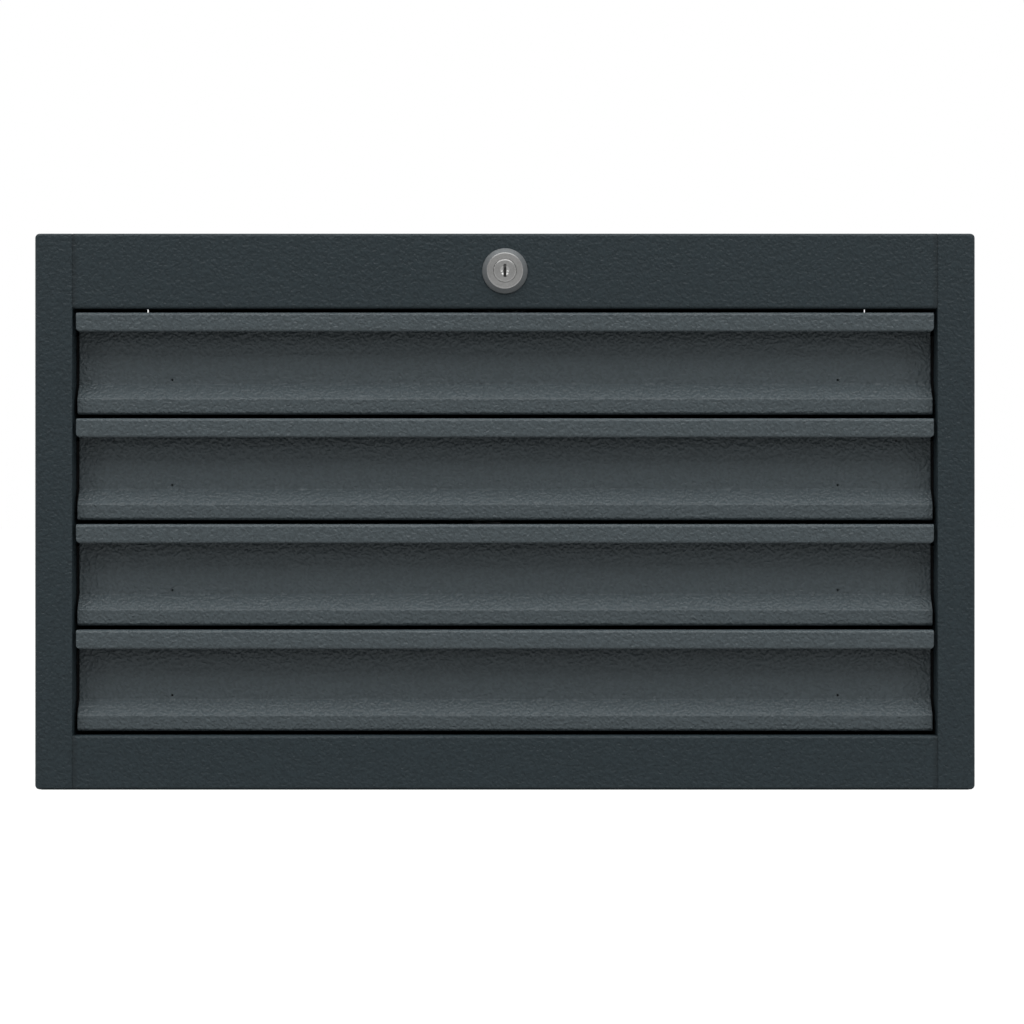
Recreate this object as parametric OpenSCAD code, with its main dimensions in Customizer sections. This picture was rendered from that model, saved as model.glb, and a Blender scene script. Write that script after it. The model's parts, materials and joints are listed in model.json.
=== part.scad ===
// Steel tool drawer cabinet: a folded sheet case, four drawers on
// telescopic ball slides, and a key lock that bolts all drawers at once.
// Front faces -Y, base on z = 0, origin at the centre of the base.

/* [Case] */
// Overall width of the case
case_w = 600; // [560:1:720]
// Overall height of the case
case_h = 355; // [345:1:400]
// Depth of the case from front face to rear face
case_d = 450; // [400:1:520]
// Thickness of the case sheet
case_t = 1.2; // [1:0.1:1.5]
// Outside radius of the folded case edges
edge_r = 2; // [1.8:0.1:3]
// Outside radius of the long edges between the sides and the top and base
corner_r = 3.5; // [2:0.1:5]
// Outside radius of the side panels at the seams to the rails
seam_r = 1; // [0.6:0.1:1.5]
// Radius on the ends of the top and bottom panels at those seams
panel_end_r = 0.6; // [0.3:0.1:1]
// Width of the upright beside the drawers
upright_w = 24; // [23:0.5:32]
// Height of the rail above the drawers
top_rail_h = 48; // [42:0.5:56]
// Height of the rail below the drawers
bottom_rail_h = 34.5; // [28:0.5:40]
// Width of the folded returns round the openings
return_w = 10; // [8:0.5:11]
// Width of the rear flanges that carry the back panel
rear_flange_w = 24; // [22:0.5:32]
// Thickness of the back panel
back_t = 1.2; // [0.8:0.1:1.5]
// Clearance between the back panel and the folds round it
back_clear = 0.5; // [0.3:0.1:1]

/* [Fixing holes] */
// Diameter of the holes for screwing the case down or to a wall
fixing_hole_d = 9; // [6:0.5:10]
// Spacing of the floor holes across the case
floor_hole_x = 440; // [380:1:480]
// Spacing of the floor holes from front to back
floor_hole_y = 340; // [300:1:380]
// Distance of the wall holes in from the outer sides of the case
wall_hole_inset = 16.3; // [13:0.1:17]
// Distance of the wall holes below the top of the case
wall_hole_drop = 21; // [18:0.5:26]

/* [Rivets and screws] */
// Shank diameter of the back panel rivets
rivet_d = 3.2; // [2.4:0.1:4]
// Head diameter of the back panel rivets
rivet_head_d = 6.5; // [5:0.1:8]
// Head height of the back panel rivets
rivet_head_h = 1.1; // [0.8:0.1:1.5]
// Radial clearance of a rivet or screw in its hole
rivet_clear = 0.1; // [0.05:0.05:0.2]
// Shank diameter of the screws that hold the outer rails
screw_d = 4; // [3:0.5:5]
// Head diameter of the rail screws
screw_head_d = 8; // [7:0.5:9]
// Head height of the rail screws
screw_head_h = 1.2; // [0.9:0.1:1.3]
// Length of the rail screws under the head
screw_l = 8; // [5:0.5:12]

/* [Slide posts] */
// Thickness of the slide posts
post_t = 1.2; // [1:0.1:1.5]
// Width of a slide post's face
post_w = 30; // [24:1:40]
// Width of a slide post's welded feet
post_foot_w = 10; // [7:0.5:14]
// Inside bend radius of the slide posts
post_r = 1.2; // [0.8:0.1:2]
// Gap between the front return and the front post
post_front_gap = 2; // [1:0.5:4]
// Gap between the posts' ends and the returns above and below
post_end_clear = 0.3; // [0.2:0.1:1]
// Distance of the rear post's face from the rear end of the slides
post_rear_inset = 7; // [2:1:12]

/* [Slides] */
// Room behind the slides for the hooks and the lock bar
slide_rear_room = 28; // [23:0.5:40]
// Length by which a drawer's travel falls short of its slides
travel_stop = 20; // [20:1:80]
// Room between post and drawer side that a slide fills
slide_w = 12.7; // [12.5:0.1:13.5]
// Height of the outer rail
slide_h = 45.7; // [44:0.1:47]
// Thickness of the rail sheet
rail_t = 1.2; // [1:0.1:1.3]
// Diameter of the bearing balls
ball_d = 3.7; // [3.4:0.1:4]
// Clearance between a ball and the races
ball_clear = 0.3; // [0.2:0.05:0.4]
// Gap between the webs of the outer and the middle rail
web_gap = 2.2; // [2.1:0.1:2.5]
// Clear gap between the inner rail's edges and the middle rail's web
inner_gap = 1; // [0.9:0.1:1.3]
// Inside bend radius at the webs of the rails
rail_r = 1.2; // [0.8:0.1:1.6]
// Distance of the outer ball rows from the post face
outer_ball_u = 6.2; // [6:0.1:6.4]
// Distance of the inner ball rows from the post face
inner_ball_u = 8; // [7.8:0.1:8.2]
// Straight lip behind the curl that holds a ball
lip_l = 0.4; // [0.2:0.1:0.6]
// Thickness of the ball cage strip
cage_t = 0.4; // [0.3:0.05:0.45]
// Clearance of a cage from the rail web beside it
cage_clear = 0.25; // [0.2:0.05:0.3]
// Clearance of a ball in its cage pocket
pocket_clear = 0.15; // [0.1:0.05:0.2]
// Free play of a ball cage in the rails' overlap at full travel
cage_play = 60; // [40:1:90]
// Balls in each row of a cage
row_balls = 6; // [4:1:7]
// Gap between the front panel's back and the front end of the slides
slide_front_gap = 4.3; // [3:0.1:6]
// Thickness of the plastic buffer on the front end of an outer rail
buffer_t = 2; // [1.5:0.1:2.5]
// Thickness of the buffer's clip along the rail's web
buffer_clip_t = 0.9; // [0.6:0.1:1]
// Length of the buffer's clip
buffer_clip_l = 12; // [8:0.5:16]
// Gap between the buffer's clip and the rail's bends
buffer_clip_clear = 0.5; // [0.3:0.1:1]
// Bevel on the buffer's edges
buffer_bevel = 0.4; // [0.2:0.05:0.5]

/* [Drawer fronts] */
// Gap between the top rail and the top drawer
top_gap = 2.4; // [2:0.1:4]
// Gap between two drawers
drawer_gap = 2.5; // [2:0.1:5]
// Gap between the lowest drawer and the bottom rail
bottom_gap = 2.3; // [2:0.1:5]
// Gap beside a drawer front
side_gap = 2.2; // [1.5:0.1:3]
// Thickness of the front sheet
front_t = 1.2; // [1:0.1:1.5]
// Inside bend radius of the front sheet
front_r = 1; // [0.6:0.1:1.4]
// Height of the handle lip
handle_h = 12.4; // [10:0.1:15]
// Depth of the finger recess behind the handle's face
recess_d = 16.5; // [14:0.5:20]
// Half the gap inside the handle's folded hem
hem_r = 0.4; // [0.3:0.05:0.6]
// Height of the folded hem inside the handle
hem_h = 7; // [5:0.5:8]
// Radius of the handle's lower corners
lip_corner_r = 2; // [1:0.5:3]
// Set-back of the lower flat behind the handle's face
flat_setback = 7; // [5:0.5:10]
// Height of the lower flat
flat_h = 10.1; // [8:0.1:12]
// Height of the slope between the flat and the recess
slope_h = 9.9; // [8:0.1:12]
// Length of the fold under the front
front_return_w = 16; // [13:0.5:20]
// Diameter of the small gauge holes in a front, of which the lower pair pass through the tray's wall
gauge_hole_d = 1.5; // [1:0.1:2]
// Spacing of the lower gauge holes across a front
low_gauge_span = 428; // [400:1:440]
// Height of the lower gauge holes above the slope
low_gauge_rise = 2.6; // [2:0.1:4]
// Spacing of the upper gauge holes across a front
high_gauge_span = 503; // [480:1:510]
// Distance of the upper gauge holes below the top of a front
high_gauge_drop = 14; // [13.6:0.1:16]

/* [Drawer trays] */
// Thickness of the tray sheet
tray_t = 1; // [0.8:0.1:1.2]
// Outside bend radius of the tray's lower edges
tray_r = 2; // [1.5:0.1:3]
// Height of the tray walls
tray_h = 54; // [50:0.5:58]
// Height of the folded hem on the tray walls
tray_hem_h = 7; // [5:0.5:10]
// Half the gap inside a folded hem of the tray
tray_hem_r = 0.3; // [0.2:0.05:0.5]
// Gap between the hems of the end walls and of the side walls
tray_hem_clear = 0.4; // [0.2:0.1:1]
// Flat strip past the fold under a tray's side wall
tray_strip_w = 0.6; // [0.5:0.1:2]
// Gap at the welds between the pieces of a tray
weld_gap = 0.1; // [0.05:0.05:0.2]
// Space between the tray's rear wall and the rear of the case
tray_rear_space = 35; // [34:0.5:40]
// Shank diameter of the tray rivets
tray_rivet_d = 4; // [3.2:0.1:4.8]
// Head diameter of the tray rivets
tray_rivet_head_d = 7.5; // [6:0.1:9]
// Head height of the tray rivets
tray_rivet_head_h = 1; // [0.7:0.1:1.2]
// Distance of the rail rivets from the ends of the inner rails
rail_rivet_inset = 60; // [40:1:90]

/* [Lock] */
// Outside diameter of the lock bezel
bezel_d = 29; // [26:0.5:32]
// Diameter of the bezel's flat face
bezel_face_d = 22.5; // [20:0.5:24]
// Height of the bezel above the rail
bezel_h = 3.6; // [3:0.1:5]
// Height of the bezel's cylindrical rim
bezel_rim_h = 1; // [0.5:0.1:1.5]
// Diameter of the lock barrel
barrel_d = 19; // [18:0.5:20]
// Length of the barrel behind the rail's face
barrel_l = 22; // [18:0.5:26]
// Diameter of the turning plug
plug_d = 14.8; // [12:0.1:15]
// Radial running clearance of the plug, the shaft and the barrel
run_clear = 0.08; // [0.05:0.01:0.1]
// Height of the plug's face above the bezel's face
plug_proud = 0.4; // [0.2:0.1:0.8]
// Bevel of the plug's rim
plug_bevel = 0.6; // [0.3:0.1:0.8]
// Width of the key slot
key_slot_w = 1.8; // [1.4:0.1:2.2]
// Height of the key slot
key_slot_h = 8.4; // [7:0.1:10]
// Depth of the key slot
key_slot_depth = 12; // [8:0.5:14]
// Diameter of the dimple round the key slot
dimple_d = 6; // [5:0.1:7]
// Depth of the dimple round the key slot
dimple_depth = 1.5; // [0.8:0.1:1.8]
// Width of the barrel nut across its flats
nut_w = 24; // [23:0.5:27]
// Thickness of the barrel nut
nut_h = 4; // [3:0.5:6]
// Diameter of the lock shaft
shaft_d = 8; // [7:0.5:9]
// Side of the shaft's square front end
tang_w = 5; // [4:0.1:5.2]
// Length of the shaft's square front end
tang_l = 8; // [6:0.5:10]
// Radius of the crank pin's circle
crank_r = 8; // [7.5:0.1:8.5]
// Diameter of the crank pin
crank_pin_d = 5; // [4:0.1:5.5]
// Diameter of the crank's hub
hub_d = 16; // [14:0.5:18]
// Length of the crank's hub
hub_l = 9; // [7:0.5:12]
// Thickness of the crank arm
arm_t = 3; // [2:0.5:4]
// Width of the crank arm
arm_w = 10; // [8:0.5:11]
// Gap between the crank arm and the lock bar
crank_gap = 1; // [0.6:0.1:1.5]

/* [Lock bar] */
// Thickness of the lock bar
bar_t = 2; // [1.5:0.1:2.5]
// Width of the lock bar's face
bar_w = 24; // [22:0.5:28]
// Depth of the lock bar's side flange
bar_flange_w = 14; // [13:0.5:14.5]
// Inside bend radius of the lock bar
bar_r = 1; // [0.6:0.1:1.5]
// Gap between the lock bar's face and the drawer hooks
bar_hook_gap = 4; // [3:0.5:5]
// Space between the lock bar's face and the back panel
bar_space = 13.6; // [13.4:0.1:15]
// Extra width of the bar's head beyond its flange
bar_head_extra = 2; // [1.5:0.1:3]
// Height of the bar's head below and above the crank slot
bar_head_h = 10; // [8:0.5:12]
// Diameter of the locking pins
lock_pin_d = 5; // [4:0.1:6]
// Distance of the locking pins behind the lock bar's rear face
lock_pin_back = 4.3; // [4:0.1:5]
// Reach of the locking pins past the hooks
lock_pin_reach = 3; // [2:0.5:5]
// Clearance between a locking pin and the hook above it
lock_pin_clear = 1.2; // [0.8:0.1:2]
// Clearance of a pin or stud in its slot
slot_clear = 0.6; // [0.5:0.05:0.8]
// Diameter of the guide studs' necks
stud_d = 6; // [5:0.5:7]
// Diameter of the guide studs' heads and spacers
stud_head_d = 12; // [10:0.5:13]
// Height of the guide studs' heads
stud_head_h = 2; // [1.5:0.5:3]
// End play of the lock bar on its studs
stud_play = 0.3; // [0.2:0.05:0.4]
// Diameter of the studs' riveted ends
stud_end_d = 4; // [3:0.5:4.5]

/* [Drawer hooks] */
// Thickness of a hook
hook_t = 2; // [1.5:0.1:2.5]
// Height of a hook
hook_h = 18; // [17:0.5:20]
// Width of a hook's riveted foot
hook_foot_w = 30; // [26:1:36]
// Clearance of a locking pin in a hook's notch
notch_clear = 1; // [0.8:0.1:1.2]
// Thickness of a hook's nose behind the notch
nose_t = 4; // [3:0.5:4]
// Height of the ramp on a hook's nose
nose_ramp_h = 3; // [1:0.5:4]

/* [Shaft bracket] */
// Thickness of the shaft bracket
bracket_t = 2; // [1.5:0.1:2.5]
// Width of the shaft bracket
bracket_w = 30; // [24:1:40]
// Length of the bracket's foot under the top panel
bracket_foot_l = 22; // [16:1:30]
// Distance of the bracket in front of the crank's hub
bracket_gap = 6; // [4:0.5:12]
// Margin of the bracket below the shaft
bracket_margin = 8; // [6:0.5:12]

/* [Hidden] */
$fn = 48;
// Facets of a fold and of a rounded corner
fold_steps = 6;
// Overlap that lets a cut run clean through its face
eps = 0.5;
drawer_count = 4;

half_w = case_w / 2;
half_d = case_d / 2;
open_half = half_w - upright_w;
open_top = case_h - top_rail_h;
fold_r = edge_r - case_t;

front_h = (open_top - bottom_rail_h - top_gap - bottom_gap - (drawer_count - 1) * drawer_gap) / drawer_count;
drawer_pitch = front_h + drawer_gap;
front_w = 2 * (open_half - side_gap);
face_y = -half_d;
recess_y = face_y + recess_d;
flat_y = face_y + flat_setback;
front_back_y = recess_y + front_t;
hem_w = 2 * (front_t + hem_r);

back_face_y = half_d - case_t;
back_in_y = back_face_y - back_t;
back_half_w = half_w - case_t - fold_r - back_clear;
back_z0 = return_w + back_clear;
back_z1 = case_h - return_w - back_clear;
wall_hole_x = half_w - wall_hole_inset;
wall_hole_z = case_h - wall_hole_drop;

// The slides fill the depth between the fronts and the room behind them
slide_y0 = front_back_y + slide_front_gap;
slide_l = half_d - slide_rear_room - slide_y0;
slide_travel = slide_l - travel_stop;
tray_half = open_half - slide_w;
tray_y0 = front_back_y;
tray_y1 = half_d - tray_rear_space;
tray_hem_w = 2 * (tray_t + tray_hem_r);
tray_end_gap = tray_t + weld_gap;
tray_l = tray_y1 - tray_y0 - 2 * tray_end_gap;
tray_floor_half = tray_half - tray_r - tray_strip_w - weld_gap;

// Cross-section of a slide: u runs from the post face to the drawer side,
// v runs up and down from the slide's middle.
race = ball_d + 2 * ball_clear;
curl_r = ball_d / 2 + ball_clear;
outer_half = slide_h / 2;
middle_half = outer_half - rail_t - race;
inner_half = middle_half - rail_t - race;
outer_ball_v = outer_half - rail_t - race / 2;
inner_ball_v = middle_half - rail_t - race / 2;
outer_u1 = outer_ball_u + curl_r + rail_t;
middle_u0 = rail_t + web_gap;
middle_u1 = inner_ball_u + curl_r + rail_t;
inner_u0 = middle_u0 + rail_t + inner_gap;
outer_cage_u = middle_u0 - cage_clear - cage_t;
inner_cage_u = middle_u0 + rail_t + cage_clear;
pocket_d = ball_d + 2 * pocket_clear;
// A pocket's rim reaches this far past the ball's centre, so that it grips
pocket_rim = 0.7 * pocket_d / 2;
cage_l = slide_l - slide_travel / 2 - cage_play;
ball_pitch = cage_l / row_balls;

front_post_y = face_y + return_w + post_front_gap;
rear_post_y = slide_y0 + slide_l - post_rear_inset - post_w;

lock_z = case_h - top_rail_h / 2;
barrel_hole_d = barrel_d + 2 * run_clear;
plug_tail_y = face_y + barrel_l + tang_l / 2;
bar_y1 = back_in_y - bar_space;
bar_y0 = bar_y1 - bar_t;
arm_y1 = bar_y0 - crank_gap;
arm_y0 = arm_y1 - arm_t;
hub_y0 = arm_y1 - hub_l;
crank_dx = -crank_r * cos(45);
crank_dz = -crank_r * sin(45);
lift = 2 * crank_r * sin(45);
bar_x1 = -bar_t;
bar_x0 = bar_x1 - bar_w;
hook_x0 = bar_x1 + bar_hook_gap;
lock_pin_y = bar_y1 + lock_pin_back;
notch_w = lock_pin_d + 2 * notch_clear;
notch_h = lift - lock_pin_clear + notch_clear;
hook_tip_y = lock_pin_y + notch_w / 2 + nose_t;
crank_slot_z = lock_z + crank_dz;
bar_top = crank_slot_z + bar_head_h;
bar_head_z = crank_slot_z - bar_head_h;

CASE_PAINT = "#31393c";
DRAWER_PAINT = "#4c5558";
ZINC = "#b4b8ba";
NICKEL = "#a9aaa8";
BALL_STEEL = "#d2d5d8";
BUFFER_BLACK = "#1a1b1c";

// Heights of drawer i, counted from the top
function front_z(i) = open_top - top_gap - front_h - (i - 1) * drawer_pitch;
function tray_z(i) = front_z(i) + front_t;
function slide_z(i) = tray_z(i) + tray_h / 2;
function hook_z(i) = slide_z(i) - hook_h / 2;
function lock_pin_z(i) = hook_z(i) - lock_pin_clear - lock_pin_d / 2;
function stud_z(i) = (lock_pin_z(i) + lock_pin_z(i + 1)) / 2;

function unit(v) = v / norm(v);
function left_of(v) = [-v[1], v[0]];
function turned(v, a) = [v[0] * cos(a) - v[1] * sin(a), v[0] * sin(a) + v[1] * cos(a)];
function turn_angle(a, b) = atan2(a[0] * b[1] - a[1] * b[0], a * b);

// Pairs of points round one fold, on the path's side and on the far side of the sheet
function fold_pairs(p0, p1, p2, r, t) =
  let (d0 = unit(p1 - p0))
  let (a = turn_angle(d0, unit(p2 - p1)))
  let (side = a > 0 ? 1 : -1)
  let (near_r = a > 0 ? r + t : r)
  let (far_r = a > 0 ? r : r + t)
  let (start = p1 - d0 * near_r * tan(abs(a) / 2))
  let (centre = start + left_of(d0) * side * near_r)
  [for (k = [0:fold_steps])
    let (ray = turned(-left_of(d0) * side, a * k / fold_steps))
    [centre + ray * near_r, centre + ray * far_r]];

// Outline of a sheet folded along a path of corners; the sheet lies on the path's left
function sheet_outline(path, radii, t) =
  let (n = len(path))
  let (head = left_of(unit(path[1] - path[0])) * t)
  let (tail = left_of(unit(path[n - 1] - path[n - 2])) * t)
  let (folds = [for (i = [1:n - 2]) each fold_pairs(path[i - 1], path[i], path[i + 1], radii[i - 1], t)])
  concat([path[0]], [for (f = folds) f[0]], [path[n - 1], path[n - 1] + tail],
         [for (k = [len(folds) - 1:-1:0]) folds[k][1]], [path[0] + head]);

// Outline of a rectangle with its own radius at each corner, from low-low round to low-high
function corner_arc(c, r, a0) =
  r > 0 ? [for (k = [0:fold_steps]) c + r * [cos(a0 + 90 * k / fold_steps), sin(a0 + 90 * k / fold_steps)]] : [c];
function round_rect(lo, hi, r) =
  concat(corner_arc([lo[0] + r[0], lo[1] + r[0]], r[0], 180), corner_arc([hi[0] - r[1], lo[1] + r[1]], r[1], 270),
         corner_arc([hi[0] - r[2], hi[1] - r[2]], r[2], 0), corner_arc([lo[0] + r[3], hi[1] - r[3]], r[3], 90));

// A folded sheet that runs along X, centred; its path is in (y, z)
module sheet_along_x(path, radii, t, w) {
  rotate([90, 0, 90])
    linear_extrude(w, center = true)
      polygon(sheet_outline(path, radii, t));
}

// A folded sheet that runs along Y from 0; its path is in (x, z)
module sheet_along_y(path, radii, t, l) {
  translate([0, l, 0])
    rotate([90, 0, 0])
      linear_extrude(l)
        polygon(sheet_outline(path, radii, t));
}

// A block with rounded edges: radii of the XY, XZ and YZ outlines
module folded_block(lo, hi, r_xy, r_xz, r_yz) {
  intersection() {
    translate([0, 0, lo[2]])
      linear_extrude(hi[2] - lo[2])
        polygon(round_rect([lo[0], lo[1]], [hi[0], hi[1]], r_xy));
    translate([0, hi[1], 0])
      rotate([90, 0, 0])
        linear_extrude(hi[1] - lo[1])
          polygon(round_rect([lo[0], lo[2]], [hi[0], hi[2]], r_xz));
    translate([lo[0], 0, 0])
      rotate([90, 0, 90])
        linear_extrude(hi[0] - lo[0])
          polygon(round_rect([lo[1], lo[2]], [hi[1], hi[2]], r_yz));
  }
}

module both_sides() {
  children();
  mirror([1, 0, 0]) children();
}

// Round bar or hole along each axis, from the given point
module rod_x(at, d, l) {
  translate(at) rotate([0, 90, 0]) cylinder(d = d, h = l);
}
module rod_y(at, d, l) {
  translate(at) rotate([-90, 0, 0]) cylinder(d = d, h = l);
}

// A rivet along Z: its head sits on z = 0 and its upset tail under the grip
module rivet(d, head_d, head_h, grip) {
  tail_r = 0.75 * d;
  tail_h = 0.9 * head_h;
  rotate_extrude()
    polygon([[0, -grip - tail_h], [0.7 * tail_r, -grip - tail_h], [tail_r, -grip - tail_h / 2], [tail_r, -grip],
             [d / 2, -grip], [d / 2, 0], [head_d / 2, 0], [head_d / 2, 0.3 * head_h], [0.3 * head_d, head_h],
             [0, head_h]]);
}

// The side panels are welded pans: web, four flanges and returns round the inner side
module side_shell(inset) {
  r_out = edge_r - inset;
  r_long = corner_r - inset;
  r_seam = max(seam_r - inset, 0);
  folded_block([-half_w + inset, -half_d + inset, inset], [-open_half - inset, half_d - inset, case_h - inset],
               [r_out, r_seam, r_seam, r_out], [r_long, r_seam, r_seam, r_long], [r_out, r_out, r_out, r_out]);
}

function side_rivets() = [for (k = [0:3]) [-half_w + upright_w / 2, case_h * (0.14 + 0.2 * k)]];
function rail_rivets() =
  [for (x = [-1.5:1:1.5], z = [(rear_flange_w + back_z0) / 2, case_h - (rear_flange_w + back_z0) / 2])
    [x * open_half / 2, z]];

module side_panel() {
  color(CASE_PAINT)
    difference() {
      side_shell(0);
      side_shell(case_t);
      translate([-open_half - case_t - eps, face_y + return_w, return_w])
        cube([case_t + 2 * eps, case_d - return_w - case_t, case_h - 2 * return_w]);
      for (p = side_rivets())
        rod_y([p[0], back_face_y - eps, p[1]], rivet_d + 2 * rivet_clear, case_t + 2 * eps);
      rod_y([-wall_hole_x, back_face_y - eps, wall_hole_z], fixing_hole_d, case_t + 2 * eps);
    }
}

module left_side_panel() {
  side_panel();
}

module right_side_panel() {
  mirror([1, 0, 0]) side_panel();
}

// Trims the ends of the top and bottom panels to soft edges at the seams
module panel_ends() {
  r = [panel_end_r, panel_end_r, panel_end_r, panel_end_r];
  folded_block([-open_half, -half_d, 0], [open_half, half_d, case_h], r, r, [0, 0, 0, 0]);
}

// Folded lips along both sides of a panel, face to face with the side panels' returns
module panel_lips(z) {
  both_sides()
    translate([-open_half, -half_d + edge_r, z])
      cube([case_t, case_d - 2 * edge_r, return_w - case_t / 2]);
}

module top_panel() {
  path = [[half_d, case_h - rear_flange_w], [half_d, case_h], [face_y, case_h], [face_y, open_top],
          [face_y + return_w, open_top]];
  color(CASE_PAINT)
    difference() {
      intersection() {
        union() {
          sheet_along_x(path, [fold_r, fold_r, fold_r], case_t, 2 * open_half);
          panel_lips(case_h - return_w);
        }
        panel_ends();
      }
      rod_y([0, face_y - eps, lock_z], barrel_hole_d, case_t + 2 * eps);
      for (p = rail_rivets())
        rod_y([p[0], back_face_y - eps, p[1]], rivet_d + 2 * rivet_clear, case_t + 2 * eps);
    }
}

module bottom_panel() {
  path = [[face_y + return_w, bottom_rail_h], [face_y, bottom_rail_h], [face_y, 0], [half_d, 0],
          [half_d, rear_flange_w]];
  color(CASE_PAINT)
    difference() {
      intersection() {
        union() {
          sheet_along_x(path, [fold_r, fold_r, fold_r], case_t, 2 * open_half);
          panel_lips(case_t / 2);
        }
        panel_ends();
      }
      for (p = rail_rivets())
        rod_y([p[0], back_face_y - eps, p[1]], rivet_d + 2 * rivet_clear, case_t + 2 * eps);
      for (x = [-1, 1], y = [-1, 1])
        translate([x * floor_hole_x / 2, y * floor_hole_y / 2, -eps])
          cylinder(d = fixing_hole_d, h = case_t + 2 * eps);
    }
}

module back_panel() {
  color(CASE_PAINT)
    difference() {
      translate([-back_half_w, back_in_y, back_z0])
        cube([2 * back_half_w, back_t, back_z1 - back_z0]);
      both_sides() {
        for (p = side_rivets())
          rod_y([p[0], back_in_y - eps, p[1]], rivet_d + 2 * rivet_clear, back_t + 2 * eps);
        rod_y([-wall_hole_x, back_in_y - eps, wall_hole_z], fixing_hole_d, back_t + 2 * eps);
      }
      for (p = rail_rivets())
        rod_y([p[0], back_in_y - eps, p[1]], rivet_d + 2 * rivet_clear, back_t + 2 * eps);
      for (i = [1, drawer_count - 1])
        rod_y([(bar_x0 + bar_x1) / 2, back_in_y - eps, stud_z(i)], stud_end_d + 2 * rivet_clear, back_t + 2 * eps);
    }
}

module back_rivet(p) {
  translate([p[0], half_d, p[1]])
    rotate([-90, 0, 0])
      rivet(rivet_d, rivet_head_d, rivet_head_h, case_t + back_t);
}

module back_rivets() {
  color(ZINC) {
    both_sides()
      for (p = side_rivets())
        back_rivet(p);
    for (p = rail_rivets())
      back_rivet(p);
  }
}

// Hat sections welded to the side panels; the outer rails are screwed to their faces
module slide_post(y0) {
  foot_x = -half_w + case_t + post_t;
  path = [[foot_x, y0 - post_foot_w], [foot_x, y0], [-open_half, y0], [-open_half, y0 + post_w],
          [foot_x, y0 + post_w], [foot_x, y0 + post_w + post_foot_w]];
  z0 = return_w + post_end_clear;
  difference() {
    translate([0, 0, z0])
      linear_extrude(case_h - 2 * z0)
        polygon(sheet_outline(path, [post_r, post_r, post_r, post_r], post_t));
    for (i = [1:drawer_count])
      rod_x([-open_half - post_t - eps, y0 + post_w / 2, slide_z(i)], screw_d + 2 * rivet_clear, post_t + 2 * eps);
  }
}

module slide_posts() {
  color(CASE_PAINT) {
    slide_post(front_post_y);
    slide_post(rear_post_y);
  }
}

module left_slide_posts() {
  slide_posts();
}

module right_slide_posts() {
  mirror([1, 0, 0]) slide_posts();
}

module rail_screw() {
  rotate([0, 90, 0])
    rotate_extrude()
      polygon([[0, -screw_l], [screw_d / 2 - 0.6, -screw_l], [screw_d / 2, -screw_l + 1], [screw_d / 2, 0],
               [screw_head_d / 2, 0], [screw_head_d / 2 - 0.4, screw_head_h], [0, screw_head_h]]);
}

module rail_screws() {
  color(ZINC)
    both_sides()
      for (i = [1:drawer_count], y = [front_post_y, rear_post_y])
        translate([-open_half + rail_t, y + post_w / 2, slide_z(i)])
          rail_screw();
}

// Places a piece of the left slide of drawer i in the slide's own u, length and v
module at_slide(i) {
  translate([-open_half, slide_y0, slide_z(i)]) children();
}

// A channel with curled lips that hold the balls, open towards the drawer
module lipped_channel(u0, u1, half_v) {
  curl = half_v - rail_t - curl_r - lip_l;
  path = [[u1, curl], [u1, half_v], [u0, half_v], [u0, -half_v], [u1, -half_v], [u1, -curl]];
  sheet_along_y(path, [curl_r, rail_r, rail_r, curl_r], rail_t, slide_l);
}

module outer_rails(i) {
  color(ZINC)
    both_sides()
      at_slide(i)
        difference() {
          lipped_channel(0, outer_u1, outer_half);
          for (y = [front_post_y, rear_post_y])
            rod_x([-eps, y + post_w / 2 - slide_y0, 0], screw_d + 2 * rivet_clear, rail_t + 2 * eps);
        }
}

// A plastic buffer over the front end of each outer rail, clipped along the rail's web round the screw
module rail_buffers() {
  clip_u = rail_t + buffer_clip_t;
  clip_half = outer_half - rail_t - rail_r - buffer_clip_clear;
  cap = [[0, -buffer_t], [clip_u - buffer_bevel, -buffer_t], [clip_u, buffer_bevel - buffer_t],
         [clip_u, 0], [0, 0]];
  clip = [[rail_t, -buffer_t / 2], [clip_u, -buffer_t / 2], [clip_u, buffer_clip_l - buffer_bevel],
          [clip_u - buffer_bevel, buffer_clip_l], [rail_t, buffer_clip_l]];
  color(BUFFER_BLACK)
    both_sides()
      for (i = [1:drawer_count])
        at_slide(i) {
          translate([0, 0, -outer_half])
            linear_extrude(slide_h)
              polygon(cap);
          difference() {
            translate([0, 0, -clip_half])
              linear_extrude(2 * clip_half)
                polygon(clip);
            rod_x([rail_t - eps, front_post_y + post_w / 2 - slide_y0, 0], screw_head_d + 2 * buffer_clip_clear,
                  buffer_clip_t + 2 * eps);
          }
        }
}

module middle_rails(i) {
  color(ZINC)
    both_sides()
      at_slide(i)
        lipped_channel(middle_u0, middle_u1, middle_half);
}

module inner_rails(i) {
  path = [[inner_u0, -inner_half], [slide_w, -inner_half], [slide_w, inner_half], [inner_u0, inner_half]];
  color(ZINC)
    both_sides()
      at_slide(i)
        difference() {
          sheet_along_y(path, [rail_r, rail_r], rail_t, slide_l);
          for (y = [rail_rivet_inset, slide_l - rail_rivet_inset])
            rod_x([slide_w - rail_t - eps, y, 0], tray_rivet_d + 2 * rivet_clear, rail_t + 2 * eps);
        }
}

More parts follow.
